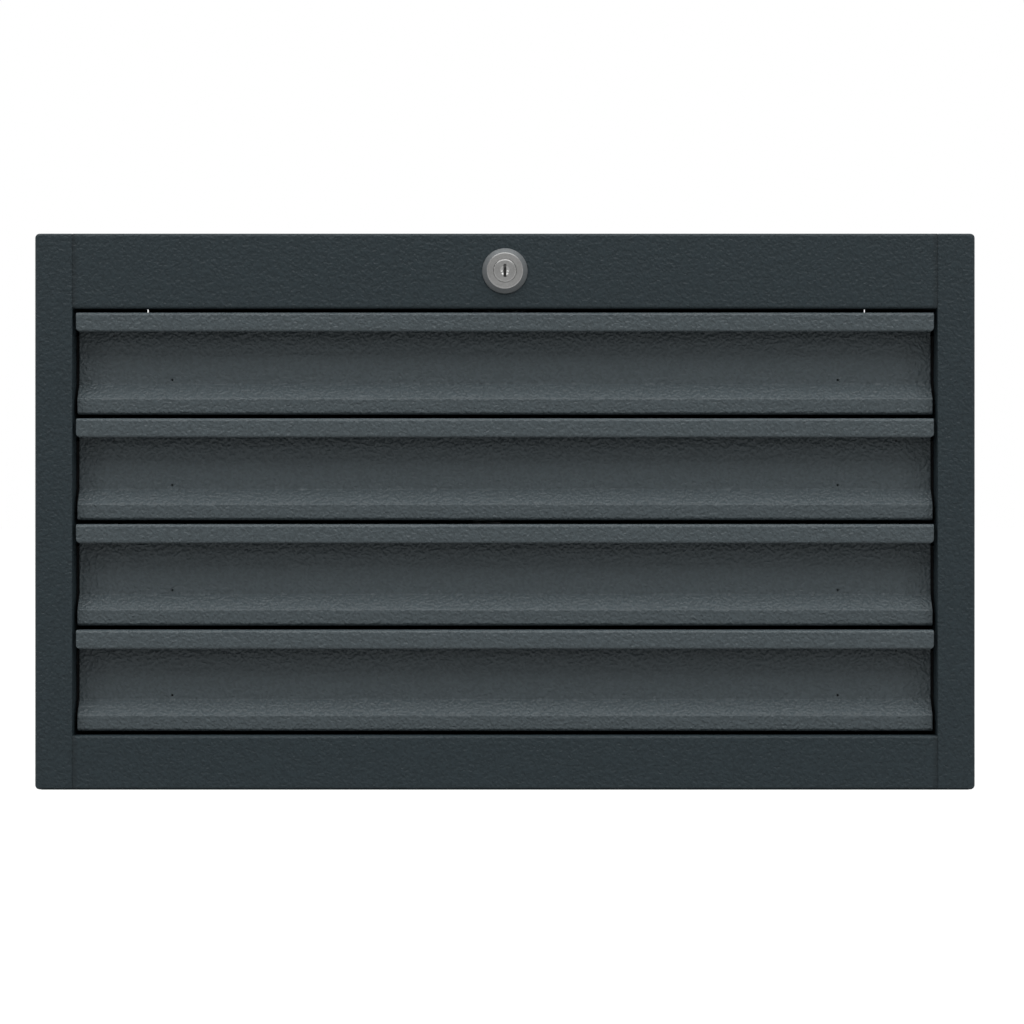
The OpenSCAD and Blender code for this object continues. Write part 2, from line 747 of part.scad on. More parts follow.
// A folded strip with pockets, and the two rows of balls that roll in it
module ball_cage(u0, ball_u, ball_v) {
  edge_u = ball_u + pocket_rim;
  half_v = ball_v + cage_t / 2;
  path = [[edge_u, half_v], [u0, half_v], [u0, -half_v], [edge_u, -half_v]];
  translate([0, (slide_l - cage_l) / 2, 0]) {
    difference() {
      sheet_along_y(path, [cage_t, cage_t], cage_t, cage_l);
      for (k = [0:row_balls - 1])
        translate([ball_u, (k + 0.5) * ball_pitch, -half_v - eps])
          cylinder(d = pocket_d, h = 2 * (half_v + eps));
    }
    color(BALL_STEEL)
      for (k = [0:row_balls - 1], v = [-ball_v, ball_v])
        translate([ball_u, (k + 0.5) * ball_pitch, v])
          sphere(d = ball_d);
  }
}

module outer_cages(i) {
  color(ZINC)
    both_sides()
      at_slide(i)
        ball_cage(outer_cage_u, outer_ball_u, outer_ball_v);
}

module inner_cages(i) {
  color(ZINC)
    both_sides()
      at_slide(i)
        ball_cage(inner_cage_u, inner_ball_u, inner_ball_v);
}

// Rounds the lower corners of a handle lip, cut from the lip's left end
module lip_corner(z) {
  difference() {
    translate([-front_w / 2 - eps, face_y - eps, z - eps])
      cube([lip_corner_r + eps, hem_w + 2 * eps, lip_corner_r + eps]);
    rod_y([-front_w / 2 + lip_corner_r, face_y - 2 * eps, z + lip_corner_r], 2 * lip_corner_r, hem_w + 4 * eps);
  }
}

// The left lower gauge hole, through sheets of thickness t from the recess back
module low_gauge_hole(i, t) {
  rod_y([-low_gauge_span / 2, recess_y - eps, front_z(i) + flat_h + slope_h + low_gauge_rise], gauge_hole_d,
        t + 2 * eps);
}

// One folded sheet: hemmed handle lip, finger recess, slope, lower flat and fold under
module drawer_front(i) {
  z0 = front_z(i);
  z1 = z0 + front_h;
  lip_z = z1 - handle_h;
  slope_z = z0 + flat_h + slope_h;
  hem_y = face_y + hem_w - front_t;
  path = [[hem_y, lip_z + hem_h], [hem_y, lip_z + front_t], [face_y + front_t, lip_z + front_t],
          [face_y + front_t, z1 - front_t], [recess_y, z1 - front_t], [recess_y, slope_z],
          [flat_y, z0 + flat_h], [flat_y, z0], [flat_y + front_return_w, z0]];
  color(DRAWER_PAINT)
    difference() {
      sheet_along_x(path, [hem_r, hem_r, front_r, front_r, front_r, front_r, front_r], front_t, front_w);
      both_sides() {
        lip_corner(lip_z);
        low_gauge_hole(i, front_t);
        rod_y([-high_gauge_span / 2, recess_y - eps, z1 - high_gauge_drop], gauge_hole_d, front_t + 2 * eps);
      }
    }
}

// The floor of a tray, welded between the strips of its side walls
module tray_floor(i) {
  translate([-tray_floor_half, tray_y0 + tray_end_gap, tray_z(i)])
    cube([2 * tray_floor_half, tray_l, tray_t]);
}

// The left side wall of a tray: a hem above, and a fold below that ends in a strip of floor
module tray_side(i) {
  z0 = tray_z(i);
  z1 = z0 + tray_h;
  hem_x = tray_half - tray_hem_w;
  path = [[-hem_x, z1 - tray_hem_h], [-hem_x, z1], [-tray_half, z1], [-tray_half, z0],
          [-tray_floor_half - weld_gap, z0]];
  difference() {
    translate([0, tray_y0 + tray_end_gap, 0])
      sheet_along_y(path, [tray_hem_r, tray_hem_r, tray_r - tray_t], tray_t, tray_l);
    for (y = [rail_rivet_inset, slide_l - rail_rivet_inset])
      rod_x([-tray_half - eps, slide_y0 + y, slide_z(i)], tray_rivet_d + 2 * rivet_clear, tray_t + 2 * eps);
  }
}

// An end wall of a tray, welded across the floor and the sides; its hem ends short of the side hems
module tray_end(i) {
  z0 = tray_z(i);
  z1 = z0 + tray_h;
  hem_y = tray_y0 + tray_hem_w;
  path = [[hem_y, z1 - tray_hem_h], [hem_y, z1], [tray_y0, z1], [tray_y0, z0]];
  sheet_along_x(path, [tray_hem_r, tray_hem_r], tray_t, 2 * (tray_half - tray_hem_w - tray_hem_clear));
  translate([0, tray_y0 + tray_t, 0])
    rotate([90, 0, 0])
      linear_extrude(tray_t)
        polygon(round_rect([-tray_half, z0], [tray_half, z1 - tray_hem_w], [tray_r, tray_r, 0, 0]));
}

// The tray stands on the fold under the front, with its front wall welded to the front's back
module drawer_tray(i) {
  color(DRAWER_PAINT) {
    tray_floor(i);
    both_sides() tray_side(i);
    difference() {
      tray_end(i);
      both_sides() low_gauge_hole(i, front_t + tray_t);
    }
    difference() {
      translate([0, tray_y0 + tray_y1, 0])
        mirror([0, 1, 0])
          tray_end(i);
      for (x = hook_rivet_xs())
        rod_y([x, tray_y1 - tray_t - eps, slide_z(i)], tray_rivet_d + 2 * rivet_clear, tray_t + 2 * eps);
    }
  }
}

function hook_rivet_xs() = [for (k = [0.4, 0.8]) hook_x0 + k * hook_foot_w];

// A bent plate behind the tray: its notch drops over a locking pin when the bar rises
module drawer_hook(i) {
  z0 = hook_z(i);
  notch_y0 = lock_pin_y - notch_w / 2;
  notch_y1 = lock_pin_y + notch_w / 2;
  side = [[tray_y1, z0], [notch_y0, z0], [notch_y0, z0 + notch_h], [notch_y1, z0 + notch_h],
          [notch_y1, z0 + nose_ramp_h], [hook_tip_y, z0 + 2 * nose_ramp_h], [hook_tip_y, z0 + hook_h],
          [tray_y1, z0 + hook_h]];
  plan = [[hook_x0, hook_tip_y], [hook_x0, tray_y1], [hook_x0 + hook_foot_w, tray_y1]];
  color(ZINC)
    difference() {
      intersection() {
        translate([0, 0, z0])
          linear_extrude(hook_h)
            polygon(sheet_outline(plan, [hook_t / 2], hook_t));
        translate([hook_x0 - eps, 0, 0])
          rotate([90, 0, 90])
            linear_extrude(hook_foot_w + 2 * eps)
              polygon(side);
      }
      for (x = hook_rivet_xs())
        rod_y([x, tray_y1 - eps, slide_z(i)], tray_rivet_d + 2 * rivet_clear, hook_t + 2 * eps);
    }
}

// Rivets of one drawer: inner rails to the tray sides, hook to the rear wall
module drawer_rivets(i) {
  color(ZINC) {
    both_sides()
      at_slide(i)
        for (y = [rail_rivet_inset, slide_l - rail_rivet_inset])
          translate([slide_w - rail_t, y, 0])
            rotate([0, -90, 0])
              rivet(tray_rivet_d, tray_rivet_head_d, tray_rivet_head_h, rail_t + tray_t);
    for (x = hook_rivet_xs())
      translate([x, tray_y1 + hook_t, slide_z(i)])
        rotate([-90, 0, 0])
          rivet(tray_rivet_d, tray_rivet_head_d, tray_rivet_head_h, hook_t + tray_t);
  }
}

// Lock pieces are drawn along Z, facing out, and turned to face -Y at the rail
module at_lock() {
  translate([0, face_y, lock_z]) rotate([90, 0, 0]) children();
}

module lock_housing() {
  bore_r = plug_d / 2 + run_clear;
  color(NICKEL)
    at_lock()
      rotate_extrude()
        polygon([[bore_r, -barrel_l], [barrel_d / 2, -barrel_l], [barrel_d / 2, 0], [bezel_d / 2, 0],
                 [bezel_d / 2, bezel_rim_h], [bezel_face_d / 2, bezel_h], [bore_r, bezel_h]]);
}

module lock_nut() {
  color(NICKEL)
    at_lock()
      translate([0, 0, -case_t - nut_h])
        difference() {
          cylinder(d = nut_w / cos(30), h = nut_h, $fn = 6);
          translate([0, 0, -eps])
            cylinder(d = barrel_hole_d, h = nut_h + 2 * eps);
        }
}

module lock_plug() {
  plug_z1 = bezel_h + plug_proud;
  tail_l = plug_tail_y - face_y;
  color(NICKEL)
    at_lock()
      difference() {
        rotate_extrude()
          polygon([[0, -tail_l], [plug_d / 2, -tail_l], [plug_d / 2, plug_z1 - plug_bevel],
                   [plug_d / 2 - plug_bevel, plug_z1], [dimple_d / 2, plug_z1], [0, plug_z1 - dimple_depth]]);
        translate([-key_slot_w / 2, -key_slot_h / 2, plug_z1 - key_slot_depth])
          cube([key_slot_w, key_slot_h, key_slot_depth + eps]);
        translate([-tang_w / 2 - run_clear, -tang_w / 2 - run_clear, -tail_l - eps])
          cube([tang_w + 2 * run_clear, tang_w + 2 * run_clear, tang_l + eps]);
      }
}

module lock_shaft() {
  shaft_y0 = plug_tail_y;
  color(ZINC) {
    rod_y([0, shaft_y0, lock_z], shaft_d, arm_y1 - shaft_y0);
    translate([-tang_w / 2, shaft_y0 - tang_l, lock_z - tang_w / 2])
      cube([tang_w, tang_l + eps, tang_w]);
  }
}

// Hub on the shaft's rear end, arm, and the pin that lifts the lock bar
module lock_crank() {
  color(ZINC)
    difference() {
      union() {
        rod_y([0, hub_y0, lock_z], hub_d, hub_l);
        translate([0, arm_y0, lock_z])
          rotate([0, -45, 0])
            translate([-crank_r, 0, -arm_w / 2])
              cube([crank_r, arm_t, arm_w]);
        rod_y([crank_dx, arm_y0, lock_z + crank_dz], arm_w, arm_t);
        rod_y([crank_dx, arm_y0, lock_z + crank_dz], crank_pin_d, bar_y1 + bar_t - arm_y0);
      }
      rod_y([0, hub_y0 - eps, lock_z], shaft_d + 2 * run_clear, hub_l + 2 * eps);
    }
}

// Hanging plate under the top panel with a running bore for the shaft
module shaft_bracket() {
  y1 = hub_y0 - bracket_gap;
  z1 = case_h - case_t;
  path = [[y1 - bracket_foot_l, z1], [y1, z1], [y1, lock_z - shaft_d / 2 - bracket_margin]];
  color(ZINC)
    difference() {
      mirror([0, 1, 0])
        sheet_along_x([for (p = path) [-p[0], p[1]]], [bracket_t], bracket_t, bracket_w);
      rod_y([0, y1 - bracket_t - eps, lock_z], shaft_d + 2 * run_clear, bracket_t + 2 * eps);
    }
}

// Upright slot in the bar's face, from z0 to z1 along its middle line
module bar_slot(x, z0, z1, d) {
  for (z = [z0, z1])
    rod_y([x, bar_y0 - eps, z], d, bar_t + 2 * eps);
  translate([x - d / 2, bar_y0 - eps, z0])
    cube([d, bar_t + 2 * eps, z1 - z0]);
}

// An angle that slides up and down behind the drawers, with a wider head for the crank pin
module lock_bar() {
  bar_z0 = lock_pin_z(drawer_count) - hook_h;
  plan = [[bar_x0, bar_y0], [bar_x1, bar_y0], [bar_x1, bar_y0 + bar_flange_w]];
  stud_x = (bar_x0 + bar_x1) / 2;
  slot_d = stud_d + 2 * slot_clear;
  pin_slot_h = crank_pin_d + 2 * slot_clear;
  pin_slot_x0 = -crank_r - crank_pin_d / 2 - slot_clear;
  pin_slot_x1 = crank_dx + crank_pin_d / 2 + slot_clear;
  color(ZINC)
    difference() {
      union() {
        translate([0, 0, bar_z0])
          linear_extrude(bar_head_z - bar_z0)
            polygon(sheet_outline(plan, [bar_r], bar_t));
        translate([bar_x0, bar_y0, bar_head_z])
          cube([bar_x1 + bar_head_extra - bar_x0, bar_t, bar_top - bar_head_z]);
      }
      for (i = [1, drawer_count - 1])
        bar_slot(stud_x, stud_z(i) - lift, stud_z(i), slot_d);
      for (i = [1:drawer_count])
        rod_x([bar_x1 - bar_t - eps, lock_pin_y, lock_pin_z(i)], lock_pin_d + 2 * rivet_clear, bar_t + 2 * eps);
      translate([pin_slot_x0, bar_y0 - eps, crank_slot_z - pin_slot_h / 2])
        cube([pin_slot_x1 - pin_slot_x0, bar_t + 2 * eps, pin_slot_h]);
    }
}

// Shouldered pins riveted into the bar's side flange, one under each hook
module lock_bar_pins() {
  head_h = bar_t / 2;
  color(ZINC)
    for (i = [1:drawer_count])
      translate([bar_x1, lock_pin_y, lock_pin_z(i)])
        rotate([0, 90, 0])
          rotate_extrude()
            polygon([[0, -bar_t - head_h], [lock_pin_d / 2 + head_h / 2, -bar_t - head_h],
                     [lock_pin_d / 2 + head_h, -bar_t], [lock_pin_d / 2, -bar_t],
                     [lock_pin_d / 2, bar_hook_gap + hook_t + lock_pin_reach - head_h],
                     [lock_pin_d / 2 - head_h, bar_hook_gap + hook_t + lock_pin_reach],
                     [0, bar_hook_gap + hook_t + lock_pin_reach]]);
}

// Headed studs on the back panel that guide the bar
module lock_bar_studs() {
  spacer_l = bar_space - stud_play / 2;
  neck_l = bar_t + stud_play;
  end_h = back_t;
  color(ZINC)
    for (i = [1, drawer_count - 1])
      translate([(bar_x0 + bar_x1) / 2, back_in_y, stud_z(i)])
        rotate([90, 0, 0])
          rotate_extrude()
            polygon([[0, -back_t - end_h], [stud_end_d / 2, -back_t - end_h], [stud_end_d / 2 + end_h, -back_t],
                     [stud_end_d / 2, -back_t], [stud_end_d / 2, 0], [stud_head_d / 2, 0],
                     [stud_head_d / 2, spacer_l], [stud_d / 2, spacer_l], [stud_d / 2, spacer_l + neck_l],
                     [stud_head_d / 2, spacer_l + neck_l], [stud_head_d / 2, spacer_l + neck_l + stud_head_h],
                     [0, spacer_l + neck_l + stud_head_h]]);
}

left_side_panel();
right_side_panel();
top_panel();
bottom_panel();
back_panel();
back_rivets();
left_slide_posts();
right_slide_posts();
rail_screws();
rail_buffers();
lock_housing();
lock_nut();
lock_plug();
lock_shaft();
lock_crank();
shaft_bracket();
lock_bar();
lock_bar_pins();
lock_bar_studs();
for (i = [1:drawer_count]) {
  drawer_front(i);
  drawer_tray(i);
  drawer_hook(i);
  drawer_rivets(i);
  outer_rails(i);
  middle_rails(i);
  inner_rails(i);
  outer_cages(i);
  inner_cages(i);
}
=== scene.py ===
import json
import math

import bmesh
import bpy
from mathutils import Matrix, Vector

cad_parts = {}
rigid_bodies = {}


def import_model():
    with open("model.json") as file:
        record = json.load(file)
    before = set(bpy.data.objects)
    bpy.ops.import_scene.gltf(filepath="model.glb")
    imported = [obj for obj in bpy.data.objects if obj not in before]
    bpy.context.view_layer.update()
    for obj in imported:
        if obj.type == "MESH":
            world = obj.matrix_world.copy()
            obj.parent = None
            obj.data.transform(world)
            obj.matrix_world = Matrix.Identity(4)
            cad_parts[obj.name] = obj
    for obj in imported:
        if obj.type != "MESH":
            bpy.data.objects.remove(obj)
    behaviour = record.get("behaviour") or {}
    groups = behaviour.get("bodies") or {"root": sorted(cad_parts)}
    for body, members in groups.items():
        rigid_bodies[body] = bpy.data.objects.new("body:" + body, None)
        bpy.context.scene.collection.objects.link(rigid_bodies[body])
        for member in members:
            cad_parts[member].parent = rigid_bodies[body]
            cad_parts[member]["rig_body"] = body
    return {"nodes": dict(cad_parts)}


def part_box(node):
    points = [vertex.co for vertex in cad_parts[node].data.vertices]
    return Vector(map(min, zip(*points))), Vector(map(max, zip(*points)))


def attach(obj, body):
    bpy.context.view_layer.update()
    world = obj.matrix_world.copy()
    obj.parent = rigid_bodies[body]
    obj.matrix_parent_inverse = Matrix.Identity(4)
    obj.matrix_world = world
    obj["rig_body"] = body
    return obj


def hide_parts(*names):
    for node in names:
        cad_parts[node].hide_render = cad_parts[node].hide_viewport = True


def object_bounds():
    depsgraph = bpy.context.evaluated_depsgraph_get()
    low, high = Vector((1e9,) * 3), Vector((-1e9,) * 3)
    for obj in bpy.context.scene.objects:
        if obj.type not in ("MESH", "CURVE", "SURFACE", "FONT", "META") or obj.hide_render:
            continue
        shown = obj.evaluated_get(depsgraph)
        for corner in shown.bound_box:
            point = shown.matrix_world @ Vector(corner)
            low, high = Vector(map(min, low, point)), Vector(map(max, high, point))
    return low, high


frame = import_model()
cad_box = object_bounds()


# Case: two side pans, a top and a base, each folded from 1.2 mm steel sheet and welded at the seams.
# The whole case is blasted and coated in one dark grey powder that flows into a fine leathery texture.
# Its colour is painted shade in the valleys, painted light on the crests and painted shade next to the seams.
CASE_FINISH = {"colour": (0.0192, 0.0294, 0.0345), "gloss": 0.52, "shine_level": 0.22, "relief": 0.0008}
# The swell tones paint shade into the valleys of the coat and light onto its crests.
SWELL_SCALE, SWELL_STOPS, SWELL_SHADE_TONES, SWELL_GLOSS = 540.0, (0.35, 0.65), (0.91, 1.09), 0.05
# The seam band is painted shade: the coat's colour darkens across this width next to the seams.
SEAM_W, SEAM_SHADE_LEVEL, SEAM_FILL, END_ROUND = 0.0038, 0.62, 0.0003, 0.0008
MERGE_GAP = 1e-6


def node_maker(tree):
    """A function that adds a node to this tree, with its settings and input values."""

    def add(kind, settings=None, **inputs):
        node = tree.nodes.new(kind)
        for key, value in (settings or {}).items():
            setattr(node, key, value)
        for key, value in inputs.items():
            socket = node.inputs[int(key[1:]) if key[1:].isdigit() else key.replace("_", " ")]
            if isinstance(value, bpy.types.NodeSocket):
                tree.links.new(value, socket)
            else:
                socket.default_value = value
        return node

    return add


def blank_material(name):
    """A new material with its shader, its node maker and the object's own coordinates."""
    material = bpy.data.materials.new(name)
    material.use_nodes = True
    add = node_maker(material.node_tree)
    shader = material.node_tree.nodes["Principled BSDF"]
    return material, add, shader, add("ShaderNodeTexCoord").outputs["Object"]


def two_tones(add, factor, stops, colours):
    """A colour that runs from one tone to the other while the factor runs from stop to stop."""
    ramp = add("ShaderNodeValToRGB", Fac=factor)
    for element, stop, colour in zip(ramp.color_ramp.elements, stops, colours):
        element.position = stop
        element.color = [*colour, 1.0]
    return ramp.outputs["Color"]


def run_between(add, value, start, end, low, high, settings=None):
    """A value that runs from low to high while the given one runs from start to end."""
    node = add("ShaderNodeMapRange", settings, Value=value, From_Min=start, From_Max=end, To_Min=low,
               To_Max=high)
    return node.outputs["Result"]


def powder_coat(name, colour, gloss, shine_level, relief, seam_x=None):
    """Leathery powder coat: worm-like swells about 3 mm apart with duller valleys, painted shade in the valleys
    and painted light on the crests, and a band of painted shade next to the welded seams."""
    material, add, shader, place = blank_material(name)
    link = material.node_tree.links.new
    swell = add("ShaderNodeTexNoise", Vector=place, Scale=SWELL_SCALE, Detail=0.5, Roughness=0.5,
                Distortion=0.35).outputs["Fac"]
    bump = add("ShaderNodeBump", Strength=1.0, Distance=relief, Height=swell)
    link(bump.outputs["Normal"], shader.inputs["Normal"])
    # painted shade in the valleys and painted light on the crests of the swells
    tone = two_tones(add, swell, SWELL_STOPS, [[c * level for c in colour] for level in SWELL_SHADE_TONES])
    # painted shade: the colour darkens towards the welded seams
    if seam_x:
        across = add("ShaderNodeSeparateXYZ", Vector=place)
        from_middle = add("ShaderNodeMath", {"operation": "ABSOLUTE"}, _0=across.outputs["X"])
        seam_shade = run_between(add, from_middle.outputs[0], seam_x - SEAM_W, seam_x, 1.0, SEAM_SHADE_LEVEL)
        tone = add("ShaderNodeVectorMath", {"operation": "SCALE"}, _0=tone, Scale=seam_shade).outputs[0]
    link(tone, shader.inputs["Base Color"])
    dull = run_between(add, swell, *SWELL_STOPS, gloss + SWELL_GLOSS, gloss - SWELL_GLOSS)
    link(dull, shader.inputs["Roughness"])
    shader.inputs["Specular IOR Level"].default_value = shine_level
    return material


def dressed_copy(node, piece_name, material, cut_round, sharp=42.0, share=None, fit=None):
    """A merged copy of a node that stands for it: fitted where asked, cut edges rounded, by a share of the
    round, and folds shaded smooth."""
    mesh = frame["nodes"][node].data.copy()
    mesh.name = piece_name
    mesh.materials.clear()
    mesh.materials.append(material)
    if "custom_normal" in mesh.attributes:
        mesh.attributes.remove(mesh.attributes["custom_normal"])
    shape = bmesh.new()
    shape.from_mesh(mesh)
    bmesh.ops.remove_doubles(shape, verts=shape.verts, dist=MERGE_GAP)
    bmesh.ops.dissolve_limit(shape, angle_limit=math.radians(0.4), verts=shape.verts, edges=shape.edges)
    if fit:
        fit(shape)
    weight = shape.edges.layers.float.new("bevel_weight_edge")
    for edge in shape.edges:
        if len(edge.link_faces) == 2 and edge.calc_face_angle(0.0) > math.radians(sharp):
            edge[weight] = share((edge.verts[0].co + edge.verts[1].co) / 2) if share else 1.0
    for face in shape.faces:
        face.smooth = True
        face.material_index = 0
    shape.to_mesh(mesh)
    shape.free()
    piece = bpy.data.objects.new(piece_name, mesh)
    bpy.context.scene.collection.objects.link(piece)
    finish_edges(piece, cut_round)
    settle(piece)
    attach(piece, frame["nodes"][node]["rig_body"])
    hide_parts(node)
    return piece


def finish_edges(piece, cut_round):
    """Rounds the edges that carry a bevel weight and keeps the flats evenly shaded."""
    bevel = piece.modifiers.new("cut edges", "BEVEL")
    bevel.limit_method = "WEIGHT"
    bevel.width = cut_round
    bevel.segments = 3
    bevel.use_clamp_overlap = True
    even = piece.modifiers.new("even flats", "WEIGHTED_NORMAL")
    even.keep_sharp = True


def settle(piece):
    """Turns a piece and its modifiers into one plain mesh."""
    bpy.context.view_layer.update()
    built = bpy.data.meshes.new_from_object(piece.evaluated_get(bpy.context.evaluated_depsgraph_get()))
    piece.modifiers.clear()
    old, piece.data = piece.data, built
    built.name = piece.name
    bpy.data.meshes.remove(old)


def welded_ends(shape):
    """Moves the ends of a panel into the side pans, as the weld that fills the seam does."""
    end_x = max(v.co.x for v in shape.verts)
    for v in shape.verts:
        if abs(v.co.x) > end_x - END_ROUND:
            v.co.x += math.copysign(SEAM_FILL, v.co.x)


case_coat = powder_coat("case_powder_coat", **CASE_FINISH)
for node in ("left_side_panel", "right_side_panel"):
    dressed_copy(node, node + "_sheet", case_coat, cut_round=0.0003)
seam_shaded_coat = powder_coat("seam_shaded_powder_coat", **CASE_FINISH, seam_x=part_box("top_panel")[1].x)
for node in ("top_panel", "bottom_panel"):
    dressed_copy(node, node + "_sheet", seam_shaded_coat, cut_round=0.0003, fit=welded_ends)


# Back: one flat sheet behind the rear flanges, coated like the case. Sixteen blind rivets with
# domed heads hold it, and each head keeps the small pit of its broken mandrel.
BACK_RIVET = {"Head Diameter": 0.0065, "Head Height": 0.0011, "Shank Diameter": 0.0032, "Grip": 0.0024,
              "Mandrel Diameter": 0.0017, "Pit Depth": 0.0005}
# Rings of the swollen tail and of the domed head, as shares of their radius and of the head's height
TAIL_RINGS = ((0.7, -0.9), (1.0, -0.45))
DOME_RINGS = ((1.0, 0.22), (0.95, 0.45), (0.8, 0.76), (0.58, 0.95))
TAIL_SWELL, PIT_RIM_OUT, PIT_RIM_UP, RIVET_SIDES = 0.75, 1.25, 0.93, 28
SIDE_RIVET_X, SIDE_RIVET_LOW, SIDE_RIVET_STEP = 0.288, 0.14, 0.2
RAIL_RIVET_X, RAIL_RIVET_Z = 0.138, 0.01725
ZINC = (0.56, 0.57, 0.58)
ZINC_BLUE, ZINC_WARM = (0.92, 0.93, 0.97), (1.06, 1.05, 1.0)


def sized_tree(name, start, sizes, result):
    """A node tree that takes a start shape, named sizes and a finish, with its node maker and its inputs."""
    tree = bpy.data.node_groups.new(name, "GeometryNodeTree")
    sockets = [(start, "INPUT", "Geometry"), *((size, "INPUT", "Float") for size in sizes),
               ("Finish", "INPUT", "Material"), (result, "OUTPUT", "Geometry")]
    for label, way, kind in sockets:
        tree.interface.new_socket(label, in_out=way, socket_type="NodeSocket" + kind)
    add = node_maker(tree)
    return tree, add, add("NodeGroupInput").outputs


def run_tree(piece, modifier_name, tree, sizes, finish):
    """Puts a node tree on a piece with its sizes and its finish."""
    modifier = piece.modifiers.new(modifier_name, "NODES")
    modifier.node_group = tree
    for item in tree.interface.items_tree:
        if item.name in sizes:
            modifier[item.identifier] = sizes[item.name]
        elif item.name == "Finish":
            modifier[item.identifier] = finish


def rivet_tree():
    """Nodes that turn a lathed rivet's rings by named sizes and set one rivet on every point."""
    tree, add, given = sized_tree("blind_rivets", "Seats", BACK_RIVET, "Rivets")

    def times(value, factor):
        return add("ShaderNodeMath", {"operation": "MULTIPLY"}, _0=value, _1=factor).outputs[0]

    def plus(a, b):
        return add("ShaderNodeMath", {"operation": "ADD"}, _0=a, _1=b).outputs[0]

    head_r, head_h = times(given["Head Diameter"], 0.5), given["Head Height"]
    shank_r, low = times(given["Shank Diameter"], 0.5), times(given["Grip"], -1.0)
    tail_r, pit_r = times(given["Shank Diameter"], TAIL_SWELL), times(given["Mandrel Diameter"], 0.5)
    pit_z = plus(head_h, times(given["Pit Depth"], -1.0))
    rings = [(times(tail_r, out), plus(low, times(head_h, up))) for out, up in TAIL_RINGS]
    rings += [(tail_r, low), (shank_r, low), (shank_r, 0.0), (head_r, 0.0)]
    rings += [(times(head_r, out), times(head_h, up)) for out, up in DOME_RINGS]
    rings += [(times(pit_r, PIT_RIM_OUT), head_h), (pit_r, times(head_h, PIT_RIM_UP)), (pit_r, pit_z)]
    steps = len(rings) - 1
    lathe = add("GeometryNodeMeshCylinder", {"fill_type": "NGON"}, Vertices=RIVET_SIDES, Side_Segments=steps,
                Radius=1.0, Depth=1.0)
    at = add("ShaderNodeSeparateXYZ", Vector=add("GeometryNodeInputPosition").outputs[0]).outputs
    ring = add("ShaderNodeMath", {"operation": "ROUND"}, _0=times(plus(at["Z"], 0.5), float(steps)))
    chosen = []
    for column in (0, 1):
        switch = add("GeometryNodeIndexSwitch", {"data_type": "FLOAT"})
        while len(switch.index_switch_items) < len(rings):
            switch.index_switch_items.new()
        tree.links.new(ring.outputs[0], switch.inputs[0])
        for k, row in enumerate(rings):
            if isinstance(row[column], float):
                switch.inputs[k + 1].default_value = row[column]
            else:
                tree.links.new(row[column], switch.inputs[k + 1])
        chosen.append(switch.outputs[0])
    ring_r, ring_z = chosen
    spot = add("ShaderNodeCombineXYZ", X=times(at["X"], ring_r), Y=times(at["Y"], ring_r), Z=ring_z)
    shaped = add("GeometryNodeSetPosition", Geometry=lathe.outputs["Mesh"], Position=spot.outputs[0])
    axis = add("GeometryNodeInputNamedAttribute", {"data_type": "FLOAT_VECTOR"}, Name="axis")
    aim = add("FunctionNodeAlignRotationToVector", {"axis": "Z"}, Vector=axis.outputs["Attribute"])
    points = add("GeometryNodeMeshToPoints", Mesh=given["Seats"])
    rivets = add("GeometryNodeInstanceOnPoints", Points=points.outputs[0], Instance=shaped.outputs[0],
                 Rotation=aim.outputs[0])
    real = add("GeometryNodeRealizeInstances", Geometry=rivets.outputs[0])
    plated = add("GeometryNodeSetMaterial", Geometry=real.outputs[0], Material=given["Finish"])
    add("NodeGroupOutput", Rivets=plated.outputs[0])
    return tree


RIVET_TREE = rivet_tree()


def rivets_on(piece_name, seats, sizes, finish, node):
    """One rivet for each seat (point, outward axis), made by the rivet nodes, in place of a node."""
    mesh = bpy.data.meshes.new(piece_name)
    mesh.from_pydata([point for point, axis in seats], [], [])
    aim = mesh.attributes.new("axis", "FLOAT_VECTOR", "POINT")
    for row, (point, axis) in zip(aim.data, seats):
        row.vector = axis
    piece = bpy.data.objects.new(piece_name, mesh)
    bpy.context.scene.collection.objects.link(piece)
    run_tree(piece, "rivets", RIVET_TREE, sizes, finish)
    settle(piece)
    piece.data.shade_smooth()
    piece.data.set_sharp_from_angle(angle=math.radians(35))
    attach(piece, frame["nodes"][node]["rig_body"])
    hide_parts(node)


def zinc_plate(name, colour, roughness, drawn):
    """Bright zinc on drawn steel: fine draw lines along the given axis and a cloudy tint."""
    material, add, shader, place = blank_material(name)
    link = material.node_tree.links.new
    lines = add("ShaderNodeMapping", Vector=place, Scale=drawn)
    streak = add("ShaderNodeTexNoise", Vector=lines.outputs[0], Scale=1.0, Detail=3.0,
                 Roughness=0.65).outputs["Fac"]
    cloud = add("ShaderNodeTexNoise", Vector=place, Scale=38.0, Detail=3.0, Roughness=0.55).outputs["Fac"]
    tints = [[c * t for c, t in zip(colour, tint)] for tint in (ZINC_BLUE, ZINC_WARM)]
    link(two_tones(add, cloud, (0.3, 0.72), tints), shader.inputs["Base Color"])
    dull = run_between(add, streak, 0.0, 1.0, roughness - 0.08, roughness + 0.12)
    link(dull, shader.inputs["Roughness"])
    bump = add("ShaderNodeBump", Strength=0.12, Distance=0.0002, Height=streak)
    link(bump.outputs["Normal"], shader.inputs["Normal"])
    shader.inputs["Metallic"].default_value = 1.0
    return material


